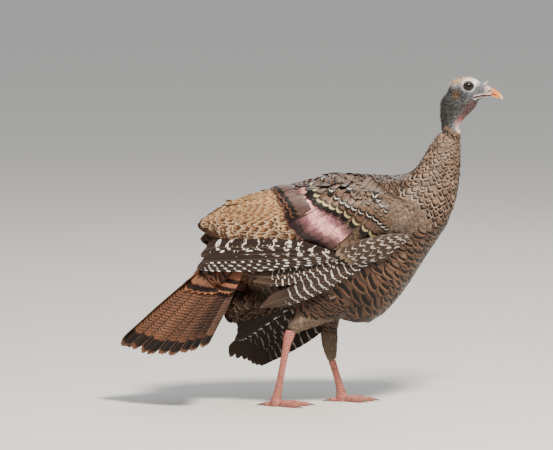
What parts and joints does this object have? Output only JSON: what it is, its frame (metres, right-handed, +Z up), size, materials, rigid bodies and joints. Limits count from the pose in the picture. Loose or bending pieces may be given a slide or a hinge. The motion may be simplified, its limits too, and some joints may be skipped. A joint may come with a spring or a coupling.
{
  "type": "wild turkey",
  "caption": "Still life-size hen wild turkey in mid stride, head up and tail low, with a folded right wing and a drooped left wing.",
  "frame": {"origin": "bottom centre of the whole bird's bounding box, on the floor under the body", "axes": "+X towards the bill, +Y to the bird's left, +Z up"},
  "size_m": [0.7524, 0.2312, 0.6391],
  "materials": {
    "body_feathers": "overlapping bronze-brown body feathers with dark edges",
    "neck_feathers": "small grey-brown scale-like feathers",
    "wing_coverts": "bronze and pink iridescent coverts with black edges",
    "tertial_feathers": "buff feathers with cream margins and white spots",
    "barred_quills": "dark flight feathers barred with white",
    "tail_feathers": "rufous feathers with black bars and a rusty tip",
    "down_feathers": "soft loose brown feathers",
    "bare_skin": "wrinkled blue-grey and pink skin with small caruncles",
    "bill_horn": "polished yellow horn",
    "eye_cornea": "wet dark brown eye",
    "leg_scales": "pink leg skin with large overlapping scales",
    "claw_horn": "dull brown horn"
  },
  "bodies": {
    "root": {"bill_lower": "bill_horn", "bill_upper": "bill_horn", "claw_left_hind": "claw_horn", "claw_left_inner": "claw_horn", "claw_left_middle": "claw_horn", "claw_left_outer": "claw_horn", "claw_right_hind": "claw_horn", "claw_right_inner": "claw_horn", "claw_right_middle": "claw_horn", "claw_right_outer": "claw_horn", "eye_left": "eye_cornea", "eye_right": "eye_cornea", "head": "bare_skin", "neck_bare": "bare_skin", "neck_feathered": "neck_feathers", "shank_left": "down_feathers", "shank_right": "down_feathers", "snood": "bare_skin", "tail_coverts": "tail_feathers", "tail_left": "tail_feathers", "tail_middle": "tail_feathers", "tail_right": "tail_feathers", "tarsus_left": "leg_scales", "tarsus_right": "leg_scales", "toe_left_hind": "leg_scales", "toe_left_inner": "leg_scales", "toe_left_middle": "leg_scales", "toe_left_outer": "leg_scales", "toe_right_hind": "leg_scales", "toe_right_inner": "leg_scales", "toe_right_middle": "leg_scales", "toe_right_outer": "leg_scales", "trunk": "body_feathers", "vent_feathers": "down_feathers", "wing_left_coverts": "wing_coverts", "wing_left_primaries": "barred_quills", "wing_left_secondaries": "barred_quills", "wing_left_tertials": "tertial_feathers", "wing_right_coverts": "wing_coverts", "wing_right_primaries": "barred_quills", "wing_right_secondaries": "barred_quills", "wing_right_tertials": "tertial_feathers"}
  },
  "joints": []
}
